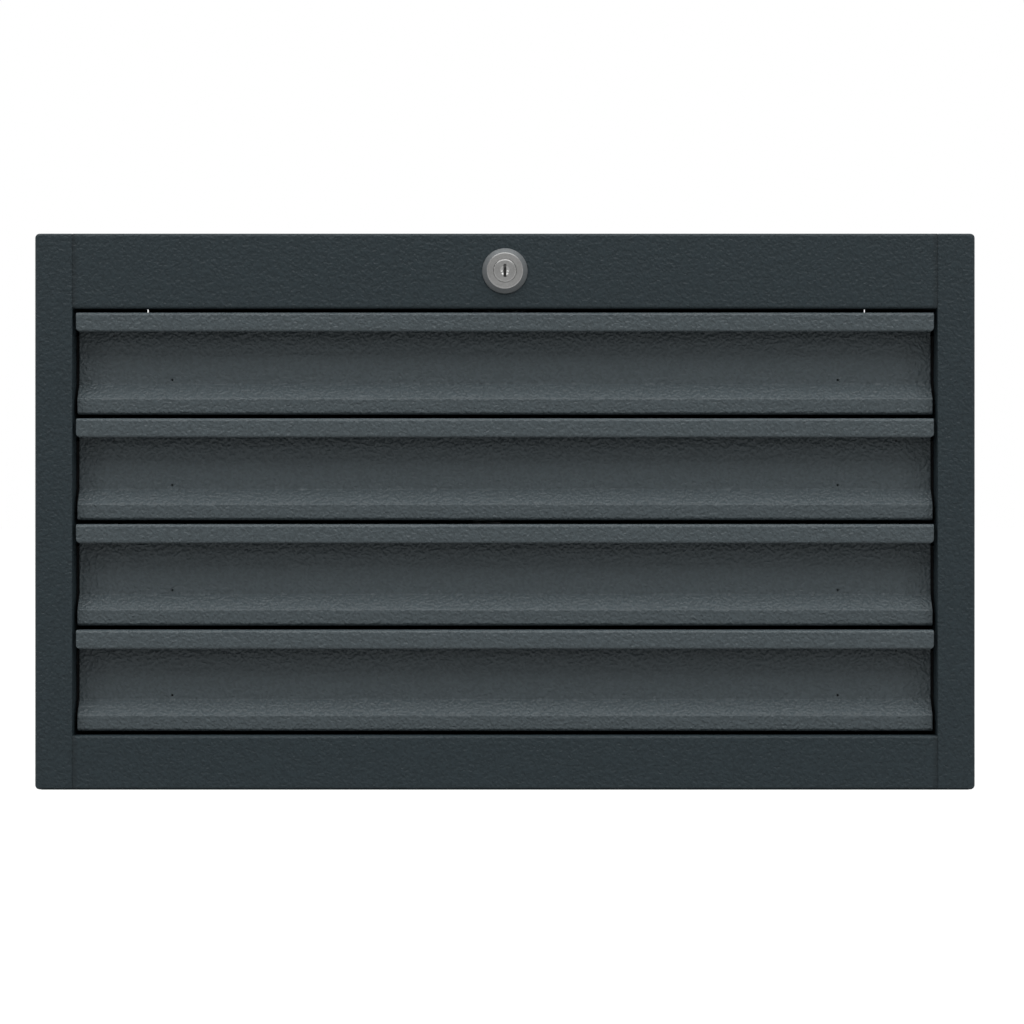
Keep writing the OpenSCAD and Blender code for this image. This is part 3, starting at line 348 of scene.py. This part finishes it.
dressed_copy("back_panel", "back_panel_sheet", case_coat, cut_round=0.0002)
fastener_zinc = zinc_plate("fastener_zinc", ZINC, 0.34, (900.0, 900.0, 900.0))
rear_y, case_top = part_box("left_side_panel")[1].y, cad_box[1].z
back_seats = []
for side in (-1, 1):
    back_seats += [(side * SIDE_RIVET_X, rear_y, case_top * (SIDE_RIVET_LOW + SIDE_RIVET_STEP * k))
                   for k in range(4)]
for k in range(4):
    back_seats += [((k - 1.5) * RAIL_RIVET_X, rear_y, z) for z in (RAIL_RIVET_Z, case_top - RAIL_RIVET_Z)]
rivets_on("back_rivet_heads", [(seat, (0.0, 1.0, 0.0)) for seat in back_seats], BACK_RIVET, fastener_zinc,
          "back_rivets")


# Slide posts: hat sections welded inside the side pans before coating. The outer rails are rolled
# channels in bright zinc plate, held to the posts by flat-headed screws, with near-black plastic buffers
# clipped over their front ends, put there as painted shade to keep the gaps beside the drawer fronts dark.
def moulded_black(name, colour):
    """Moulded plastic with a fine matt grain."""
    material, add, shader, place = blank_material(name)
    link = material.node_tree.links.new
    grain = add("ShaderNodeTexNoise", Vector=place, Scale=1600.0, Detail=2.0, Roughness=0.6).outputs["Fac"]
    tones = [[c * level for c in colour] for level in (0.8, 1.2)]
    link(two_tones(add, grain, (0.3, 0.7), tones), shader.inputs["Base Color"])
    bump = add("ShaderNodeBump", Strength=0.2, Distance=0.0002, Height=grain)
    link(bump.outputs["Normal"], shader.inputs["Normal"])
    shader.inputs["Roughness"].default_value = 0.7
    shader.inputs["Specular IOR Level"].default_value = 0.2
    return material


for node in ("left_slide_posts", "right_slide_posts"):
    dressed_copy(node, node + "_sheet", case_coat, cut_round=0.0002)
rail_zinc = zinc_plate("rail_zinc", ZINC, 0.3, (1400.0, 9.0, 1400.0))
dressed_copy("rail_screws", "rail_screw_heads", fastener_zinc, cut_round=0.00015, sharp=50.0)
for i in range(1, 5):
    node = f"drawer_{i}_outer_rails"
    dressed_copy(node, node + "_channel", rail_zinc, cut_round=0.0002)
# painted shade: the buffers are near black so the gaps beside the drawer fronts stay dark
gap_shade_black = moulded_black("gap_shade_black", (0.006, 0.006, 0.0065))
dressed_copy("rail_buffers", "rail_buffer_set", gap_shade_black, cut_round=0.0003)


# Lock: a die-cast housing with a bevelled bezel and a turning plug with a dimpled key slot, both in
# satin nickel with fine turning lines. A hexagon nut behind the rail clamps the housing.
# The bevel's darker colour is painted shade for the dark room that the bevel would reflect.
FACE_NICKEL, BEVEL_SHADED_NICKEL, SLOT_SHADE = (0.31, 0.31, 0.305), (0.125, 0.135, 0.14), (0.08, 0.08, 0.08, 1.0)
BEVEL_FROM, BEVEL_TO, DIMPLE_R, DIMPLE_EDGE = 0.0113, 0.0117, 0.003, 0.0032
# The key slot is painted dark from these depths behind the plug's face on, as painted shade.
SLOT_SHADE_FROM, SLOT_SHADE_TO, TURNING_LINES = 0.0016, 0.0022, 24000.0
KEYWAY_R, PLUG_R, PLUG_RIM_W, BEZEL_R = 0.006, 0.0074, 0.0003, 0.0105


def satin_nickel(name, face_tone, bevel_shade_tone):
    """Satin nickel with turning lines round the lock's axis, a duller bevel painted darker as painted shade for
    the dark room it would reflect, a dimple that keys have rubbed bright and a key slot painted dark deep
    inside as painted shade."""
    material, add, shader, place = blank_material(name)
    link = material.node_tree.links.new

    def calc(operation, *values):
        numbered = {f"_{k}": value for k, value in enumerate(values)}
        return add("ShaderNodeMath", {"operation": operation}, **numbered).outputs[0]

    def mixed(share, first, second):
        return add("ShaderNodeMix", {"data_type": "RGBA"}, _0=share, _6=first, _7=second).outputs[2]

    axis_z = (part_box("lock_housing")[0].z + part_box("lock_housing")[1].z) / 2
    centred = add("ShaderNodeMapping", Vector=place, Location=(0.0, 0.0, -axis_z))
    split = add("ShaderNodeSeparateXYZ", Vector=centred.outputs[0])
    flat = add("ShaderNodeCombineXYZ", X=split.outputs["X"], Z=split.outputs["Z"])
    radius = add("ShaderNodeVectorMath", {"operation": "LENGTH"}, _0=flat.outputs[0]).outputs["Value"]
    bevel = run_between(add, radius, BEVEL_FROM, BEVEL_TO, 0.0, 1.0, {"interpolation_type": "SMOOTHSTEP"})
    unworn = run_between(add, radius, DIMPLE_R, DIMPLE_EDGE, 0.0, 1.0)
    fleck = add("ShaderNodeTexNoise", Vector=place, Scale=900.0, Detail=3.0, Roughness=0.6).outputs["Fac"]
    flecked = [two_tones(add, fleck, (0.3, 0.7), [[c * level for c in tone] for level in (0.9, 1.08)])
               for tone in (face_tone, bevel_shade_tone)]
    face_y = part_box("lock_plug")[0].y
    deep = run_between(add, split.outputs["Y"], face_y + SLOT_SHADE_FROM, face_y + SLOT_SHADE_TO, 0.0, 1.0)
    slot_shade = calc("MULTIPLY", deep, calc("SUBTRACT", 1.0, unworn))
    # painted shade: the bevel's darker colour and the dark colour deep in the key slot
    link(mixed(slot_shade, mixed(bevel, *flecked), SLOT_SHADE), shader.inputs["Base Color"])
    satin = run_between(add, unworn, 0.0, 1.0, 0.15, 0.26)
    link(run_between(add, bevel, 0.0, 1.0, satin, 0.5), shader.inputs["Roughness"])
    link(run_between(add, bevel, 0.0, 1.0, 0.7, 0.15), shader.inputs["Metallic"])
    shader.inputs["Specular IOR Level"].default_value = 0.3
    turning = calc("SINE", calc("MULTIPLY", radius, TURNING_LINES))
    height = calc("MULTIPLY_ADD", turning, 0.25, fleck)
    bump = add("ShaderNodeBump", Strength=calc("MULTIPLY", unworn, 0.25), Distance=0.0001, Height=height)
    link(bump.outputs["Normal"], shader.inputs["Normal"])
    return material


nickel = satin_nickel("satin_nickel", FACE_NICKEL, BEVEL_SHADED_NICKEL)
lock_z = (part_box("lock_plug")[0].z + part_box("lock_plug")[1].z) / 2


def housing_round(spot):
    """The bezel's outer edges get the whole round, the bore little of it."""
    return 1.0 if math.hypot(spot.x, spot.z - lock_z) > BEZEL_R else 0.1


def plug_round(spot):
    """Most of the round goes to the rim of the plug's face, little to its side and to the key slot."""
    radius = math.hypot(spot.x, spot.z - lock_z)
    return 0.18 if radius < KEYWAY_R else 1.0 if radius < PLUG_R - PLUG_RIM_W else 0.06


dressed_copy("lock_housing", "lock_housing_body", nickel, cut_round=0.0005, sharp=25.0,
             share=housing_round)
dressed_copy("lock_plug", "lock_plug_body", nickel, cut_round=0.0008, sharp=25.0, share=plug_round)
dressed_copy("lock_nut", "lock_barrel_nut", nickel, cut_round=0.0002)


# Lock linkage: the plug turns a long round shaft in a bracket under the top, and a crank on its rear
# end lifts the lock bar. All pieces are cut, bent or turned from steel and zinc plated.
shaft_zinc = zinc_plate("shaft_zinc", ZINC, 0.33, (700.0, 14.0, 700.0))
bar_zinc = zinc_plate("bar_zinc", ZINC, 0.36, (900.0, 900.0, 12.0))
dressed_copy("lock_shaft", "lock_shaft_rod", shaft_zinc, cut_round=0.0003)
dressed_copy("lock_crank", "lock_crank_arm", shaft_zinc, cut_round=0.0003)
dressed_copy("shaft_bracket", "shaft_bracket_plate", bar_zinc, cut_round=0.0002)
dressed_copy("lock_bar", "lock_bar_angle", bar_zinc, cut_round=0.0003)
dressed_copy("lock_bar_pins", "lock_bar_pin_set", shaft_zinc, cut_round=0.0002)
dressed_copy("lock_bar_studs", "lock_bar_stud_set", shaft_zinc, cut_round=0.0002)


# Drawer fronts: one sheet each, folded to a hemmed handle lip, a finger recess, a slope and a lower
# flat. The trays behind them are folded and welded, and both are coated in a lighter grey powder.
DRAWER_FINISH = {"colour": (0.0608, 0.0768, 0.0842), "gloss": 0.4, "shine_level": 0.25, "relief": 0.0009}
FRONT_SIZES = {"Width": 0.0, "Sheet": 0.0012, "Lip Base": 0.0, "Lip Corner": 0.003, "Gauge Plane": 0.0,
               "Gauge Diameter": 0.0015, "Low Gauge Span": 0.428, "Low Gauge Height": 0.0,
               "High Gauge Span": 0.503, "High Gauge Height": 0.0, "End Round": 0.35}
FOLD_STEPS, DRILL_SIDES, QUARTER_TURN, STEEP_ANGLE = 6, 16, 1.5707963, 0.9
# How far the lip and its front edge stand before the plane of the gauge holes, and what counts as a hole's rim
LIP_BEFORE, EDGE_BEFORE, RIM_DEPTH, RIM_REACH = 0.008, 0.0162, 1.5, 0.98
HANDLE_H, RECESS_D, FLAT_SETBACK, FLAT_H, SLOPE_H, RETURN_W = 0.0124, 0.0165, 0.007, 0.0101, 0.0099, 0.016
HEM_R, HEM_H, FRONT_R, LIP_END_ROUND = 0.0004, 0.007, 0.001, 0.0008
LOW_GAUGE_RISE, HIGH_GAUGE_DROP = 0.0026, 0.014


def folded_front_tree():
    """Nodes that fold a section line, draw it out to a sheet, round the lip's ends and drill the gauge
    holes."""
    tree, add, given = sized_tree("folded_front", "Section", FRONT_SIZES, "Front")

    def calc(operation, a, b=0.0, c=0.0):
        return add("ShaderNodeMath", {"operation": operation}, _0=a, _1=b, _2=c).outputs[0]

    def vector(**axes):
        return add("ShaderNodeCombineXYZ", **axes).outputs[0]

    half, sheet, corner_r = calc("MULTIPLY", given["Width"], 0.5), given["Sheet"], given["Lip Corner"]
    fold = add("GeometryNodeInputNamedAttribute", {"data_type": "FLOAT"}, Name="fold").outputs["Attribute"]
    line = add("GeometryNodeMeshToCurve", Mesh=given["Section"])
    folds = add("GeometryNodeFilletCurve", {"mode": "POLY"}, Curve=line.outputs[0], Count=FOLD_STEPS - 1,
                Radius=fold)
    bent = add("GeometryNodeCurveToMesh", Curve=folds.outputs[0])
    edge = add("GeometryNodeMergeByDistance", Geometry=bent.outputs[0], Distance=MERGE_GAP)
    start = add("GeometryNodeSetPosition", Geometry=edge.outputs[0],
                Offset=vector(X=calc("MULTIPLY", half, -1.0)))
    skin = add("GeometryNodeExtrudeMesh", {"mode": "EDGES"}, Mesh=start.outputs[0],
               Offset=vector(X=given["Width"]), Offset_Scale=1.0)
    wall = add("GeometryNodeExtrudeMesh", {"mode": "FACES"}, Mesh=skin.outputs["Mesh"], Individual=False,
               Offset_Scale=sheet)
    under = add("GeometryNodeFlipFaces", Mesh=skin.outputs["Mesh"])
    shell = add("GeometryNodeJoinGeometry")
    for part in (wall.outputs["Mesh"], under.outputs[0]):
        tree.links.new(part, shell.inputs[0])
    closed = add("GeometryNodeMergeByDistance", Geometry=shell.outputs[0], Distance=MERGE_GAP)

    at = add("ShaderNodeSeparateXYZ", Vector=add("GeometryNodeInputPosition").outputs[0]).outputs
    drop = calc("SUBTRACT", corner_r, calc("SUBTRACT", at["Z"], given["Lip Base"]))
    drop = calc("MINIMUM", calc("MAXIMUM", drop, 0.0), corner_r)
    chord = calc("SQRT", calc("SUBTRACT", calc("MULTIPLY", corner_r, corner_r), calc("MULTIPLY", drop, drop)))
    inward = calc("MULTIPLY", calc("SUBTRACT", chord, corner_r), calc("SIGN", at["X"]))
    above = calc("GREATER_THAN", at["Z"], calc("SUBTRACT", given["Lip Base"], sheet))
    before = calc("LESS_THAN", at["Y"], calc("SUBTRACT", given["Gauge Plane"], LIP_BEFORE))
    corners = add("GeometryNodeSetPosition", Geometry=closed.outputs[0],
                  Selection=calc("MULTIPLY", above, before), Offset=vector(X=inward))

    drill = add("GeometryNodeMeshCylinder", Vertices=DRILL_SIDES,
                Radius=calc("MULTIPLY", given["Gauge Diameter"], 0.5), Depth=calc("MULTIPLY", sheet, 4.0))
    drills = add("GeometryNodeJoinGeometry")
    for row in ("Low Gauge", "High Gauge"):
        reach = calc("MULTIPLY", given[row + " Span"], 0.5)
        ends = [vector(X=calc("MULTIPLY", reach, side), Y=given["Gauge Plane"], Z=given[row + " Height"])
                for side in (-1.0, 1.0)]
        pair = add("GeometryNodeMeshLine", {"mode": "END_POINTS"}, Count=2, Start_Location=ends[0],
                   Offset=ends[1])
        holes = add("GeometryNodeInstanceOnPoints", Points=pair.outputs[0], Instance=drill.outputs["Mesh"],
                    Rotation=(QUARTER_TURN, 0.0, 0.0))
        tree.links.new(holes.outputs[0], drills.inputs[0])
    bits = add("GeometryNodeRealizeInstances", Geometry=drills.outputs[0])
    drilled = add("GeometryNodeMeshBoolean", {"operation": "DIFFERENCE", "solver": "EXACT"},
                  Mesh_1=corners.outputs[0], Mesh_2=bits.outputs[0])

    smooth = add("GeometryNodeSetShadeSmooth", Geometry=drilled.outputs["Mesh"], Shade_Smooth=True)
    turn = add("GeometryNodeInputMeshEdgeAngle").outputs["Unsigned Angle"]
    steep = calc("GREATER_THAN", turn, STEEP_ANGLE)
    off_plane = calc("ABSOLUTE", calc("SUBTRACT", at["Y"], given["Gauge Plane"]))
    rim = calc("MULTIPLY", calc("LESS_THAN", off_plane, calc("MULTIPLY", sheet, RIM_DEPTH)),
               calc("LESS_THAN", calc("ABSOLUTE", at["X"]), calc("MULTIPLY", half, RIM_REACH)))
    cut_edge = calc("MULTIPLY", steep, calc("SUBTRACT", 1.0, rim))
    front_edge = calc("LESS_THAN", at["Y"], calc("SUBTRACT", given["Gauge Plane"], EDGE_BEFORE))
    more = calc("MULTIPLY", front_edge, calc("SUBTRACT", 1.0, given["End Round"]))
    share = calc("ADD", given["End Round"], more)
    marked = add("GeometryNodeStoreNamedAttribute", {"data_type": "FLOAT", "domain": "EDGE"},
                 Geometry=smooth.outputs[0], Name="bevel_weight_edge", Value=calc("MULTIPLY", cut_edge, share))
    sharp = add("GeometryNodeSetShadeSmooth", {"domain": "EDGE"}, Geometry=marked.outputs[0],
                Selection=calc("MULTIPLY", steep, rim), Shade_Smooth=False)
    real = add("GeometryNodeRealizeInstances", Geometry=sharp.outputs[0])
    coated = add("GeometryNodeSetMaterial", Geometry=real.outputs[0], Material=given["Finish"])
    add("NodeGroupOutput", Front=coated.outputs[0])
    return tree


FRONT_TREE = folded_front_tree()
drawer_coat = powder_coat("drawer_powder_coat", **DRAWER_FINISH)
for i in range(1, 5):
    node = f"drawer_{i}_front"
    low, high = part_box(node)
    sheet, lip_z = FRONT_SIZES["Sheet"], high.z - HANDLE_H
    recess_y, flat_y, slope_z = low.y + RECESS_D, low.y + FLAT_SETBACK, low.z + FLAT_H + SLOPE_H
    lip_y, hem_y = low.y + sheet, low.y + sheet + 2 * HEM_R
    corner = [(lip_y, lip_z + share * FRONT_SIZES["Lip Corner"], 0.0) for share in (0.75, 1.0)]
    section = [(hem_y, lip_z + HEM_H, 0.0), (hem_y, lip_z + sheet, HEM_R), (lip_y, lip_z + sheet, HEM_R),
               *corner, (lip_y, high.z - sheet, FRONT_R), (recess_y, high.z - sheet, FRONT_R),
               (recess_y, slope_z, FRONT_R), (flat_y, low.z + FLAT_H, FRONT_R + sheet),
               (flat_y, low.z, FRONT_R + sheet), (flat_y + RETURN_W, low.z, 0.0)]
    mesh = bpy.data.meshes.new(node + "_sheet")
    mesh.from_pydata([(0.0, y, z) for y, z, fold in section],
                     [(k, k + 1) for k in range(len(section) - 1)], [])
    folds = mesh.attributes.new("fold", "FLOAT", "POINT")
    for row, (y, z, fold) in zip(folds.data, section):
        row.value = fold
    piece = bpy.data.objects.new(node + "_sheet", mesh)
    bpy.context.scene.collection.objects.link(piece)
    sizes = dict(FRONT_SIZES)
    sizes["Width"], sizes["Lip Base"], sizes["Gauge Plane"] = high.x - low.x, lip_z, recess_y
    sizes["Low Gauge Height"] = slope_z + LOW_GAUGE_RISE
    sizes["High Gauge Height"] = high.z - HIGH_GAUGE_DROP
    run_tree(piece, "folds", FRONT_TREE, sizes, drawer_coat)
    finish_edges(piece, LIP_END_ROUND)
    settle(piece)
    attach(piece, frame["nodes"][node]["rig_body"])
    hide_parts(node)
    dressed_copy(f"drawer_{i}_tray", f"drawer_{i}_tray_sheet", drawer_coat, cut_round=0.00025)


# Slides and hooks: the inner rails are riveted to the tray sides and a bent hook to its rear wall.
# The middle rails run between them on caged chrome-steel balls.
DRAWER_RIVET = {"Head Diameter": 0.0075, "Head Height": 0.001, "Shank Diameter": 0.004, "Grip": 0.0,
                "Mandrel Diameter": 0.002, "Pit Depth": 0.0004}
RAIL_T, TRAY_T, HOOK_T, RAIL_RIVET_INSET, BALL_D = 0.0012, 0.001, 0.002, 0.06, 0.0037
HOOK_RIVETS = (0.4, 0.8)


def ball_faces(mesh, ball_d):
    """Gives the loose balls of a cage's mesh the second material."""
    shape = bmesh.new()
    shape.from_mesh(mesh)
    seen = set()
    for first in shape.faces:
        if first in seen:
            continue
        group, to_visit = [first], [first]
        seen.add(first)
        while to_visit:
            for edge in to_visit.pop().edges:
                for near in edge.link_faces:
                    if near not in seen:
                        seen.add(near)
                        group.append(near)
                        to_visit.append(near)
        along = [p.co.y for face in group for p in face.verts]
        if max(along) - min(along) < 1.05 * ball_d:
            for face in group:
                face.material_index = 1
    shape.to_mesh(mesh)
    shape.free()


cage_steel = zinc_plate("cage_steel", (0.5, 0.5, 0.49), 0.38, (1400.0, 12.0, 1400.0))
ball_steel = zinc_plate("ball_steel", (0.68, 0.69, 0.7), 0.16, (500.0, 500.0, 500.0))
for i in range(1, 5):
    for kind in ("inner_rails", "middle_rails"):
        node = f"drawer_{i}_{kind}"
        dressed_copy(node, node + "_channel", rail_zinc, cut_round=0.0002)
    for kind in ("outer_cages", "inner_cages"):
        node = f"drawer_{i}_{kind}"
        cage = dressed_copy(node, node + "_strip", cage_steel, cut_round=0.00004, sharp=60.0)
        cage.data.materials.append(ball_steel)
        ball_faces(cage.data, BALL_D)
    dressed_copy(f"drawer_{i}_hook", f"drawer_{i}_hook_plate", bar_zinc, cut_round=0.0002)
    rail_low, rail_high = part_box(f"drawer_{i}_inner_rails")
    hook_low, hook_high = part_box(f"drawer_{i}_hook")
    tray_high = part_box(f"drawer_{i}_tray")[1]
    middle_z = (rail_low.z + rail_high.z) / 2
    rail_seats = [((side * (tray_high.x + RAIL_T), y, middle_z), (float(side), 0.0, 0.0)) for side in (-1, 1)
                  for y in (rail_low.y + RAIL_RIVET_INSET, rail_high.y - RAIL_RIVET_INSET)]
    hook_spots = [hook_low.x + share * (hook_high.x - hook_low.x) for share in HOOK_RIVETS]
    hook_seats = [((x, tray_high.y + HOOK_T, middle_z), (0.0, 1.0, 0.0)) for x in hook_spots]
    for kind, seats, clamped in (("rail", rail_seats, RAIL_T), ("hook", hook_seats, HOOK_T)):
        rivets_on(f"drawer_{i}_{kind}_rivet_set", seats, dict(DRAWER_RIVET, Grip=clamped + TRAY_T),
                  fastener_zinc, f"drawer_{i}_rivets")


# Studio: a wide pale floor under a soft sky that is white behind the cabinet and grey on the viewer's
# side, one broad soft lamp over the front and a weak strip on either side.
FLOOR_REACH, BASE_INSET, FLOOR_WHITE = 30.0, 0.004, 0.88
FLOOR_GREY, WHITE = (0.2, 0.2, 0.2, 1.0), (1.0, 1.0, 1.0, 1.0)
MIDDLE_PATCH = 4
SKY_FRONT, SKY_BEHIND, SKY_TURN = 0.49, 1.0, (-0.1, 0.55)


def plain_floor():
    """A floor that the camera, metal and glass see as white, that keeps the cabinet's shadow and stays dark
    under the cabinet's base, where no light reaches it."""
    mesh = bpy.data.meshes.new("floor")
    across, along = [(-FLOOR_REACH, cad_box[0][k] + BASE_INSET, cad_box[1][k] - BASE_INSET, FLOOR_REACH)
                     for k in (0, 1)]
    first_corners = [4 * j + i for j in range(3) for i in range(3)]
    mesh.from_pydata([(x, y, 0.0) for y in along for x in across], [],
                     [(k, k + 1, k + 5, k + 4) for k in first_corners])
    floor = bpy.data.objects.new("floor", mesh)
    bpy.context.scene.collection.objects.link(floor)
    material = bpy.data.materials.new("floor_white")
    material.use_nodes = True
    material.node_tree.nodes.clear()
    add = node_maker(material.node_tree)
    ray = add("ShaderNodeLightPath").outputs
    seen = add("ShaderNodeMath", {"operation": "MAXIMUM"}, _0=ray["Is Camera Ray"], _1=ray["Is Glossy Ray"])
    seen = add("ShaderNodeMath", {"operation": "MAXIMUM"}, _0=seen.outputs[0], _1=ray["Is Transmission Ray"])
    strength = add("ShaderNodeMath", {"operation": "MULTIPLY"}, _0=seen.outputs[0], _1=FLOOR_WHITE)
    lit = add("ShaderNodeBsdfDiffuse", Color=FLOOR_GREY)
    glow = add("ShaderNodeEmission", Color=WHITE, Strength=strength.outputs[0])
    both = add("ShaderNodeAddShader", _0=lit.outputs[0], _1=glow.outputs[0])
    add("ShaderNodeOutputMaterial", Surface=both.outputs[0])
    mesh.materials.append(material)
    shade = bpy.data.materials.new("floor_under_base")
    shade.use_nodes = True
    shade.node_tree.nodes["Principled BSDF"].inputs["Base Color"].default_value = FLOOR_GREY
    mesh.materials.append(shade)
    mesh.polygons[MIDDLE_PATCH].material_index = 1


def soft_lamp(name, place, target, width, height, power):
    """A rectangular soft box that faces the target."""
    lamp = bpy.data.lights.new(name, "AREA")
    lamp.shape = "RECTANGLE"
    lamp.size, lamp.size_y = width, height
    lamp.energy = power
    holder = bpy.data.objects.new(name, lamp)
    holder.location = place
    aim = Vector(target) - Vector(place)
    holder.rotation_euler = aim.to_track_quat("-Z", "Y").to_euler()
    bpy.context.scene.collection.objects.link(holder)


plain_floor()
soft_lamp("lamp_over_front", place=(0.0, -2.25, 4.6), target=(0.0, -0.1, 0.2), width=7.5, height=4.2,
          power=308.0)
for name, side in (("lamp_left", -1), ("lamp_right", 1)):
    soft_lamp(name, place=(side * 2.2, -1.89, 0.9), target=(0.0, -0.1, 0.3), width=0.22, height=0.75, power=4.0)
world = bpy.data.worlds.new("studio_sky")
world.use_nodes = True
world.node_tree.nodes.clear()
sky = node_maker(world.node_tree)
heading = sky("ShaderNodeSeparateXYZ", Vector=sky("ShaderNodeTexCoord").outputs["Generated"])
brightness = run_between(sky, heading.outputs["Y"], *SKY_TURN, SKY_FRONT, SKY_BEHIND,
                         {"interpolation_type": "SMOOTHSTEP"})
glow = sky("ShaderNodeBackground", Color=WHITE, Strength=brightness)
sky("ShaderNodeOutputWorld", Surface=glow.outputs[0])
bpy.context.scene.world = world
bpy.context.scene.view_settings.view_transform = "Standard"


# Camera: square on to the front at two metres, level, with the cabinet framed as in the picture.
camera = bpy.data.cameras.new("camera")
camera.lens, camera.sensor_width = 110.2, 36.0
viewpoint = bpy.data.objects.new("camera", camera)
viewpoint.location = (0.0045, -2.225, 0.1772)
viewpoint.rotation_euler = (math.pi / 2, 0.0, 0.0)
bpy.context.scene.collection.objects.link(viewpoint)
bpy.context.scene.camera = viewpoint
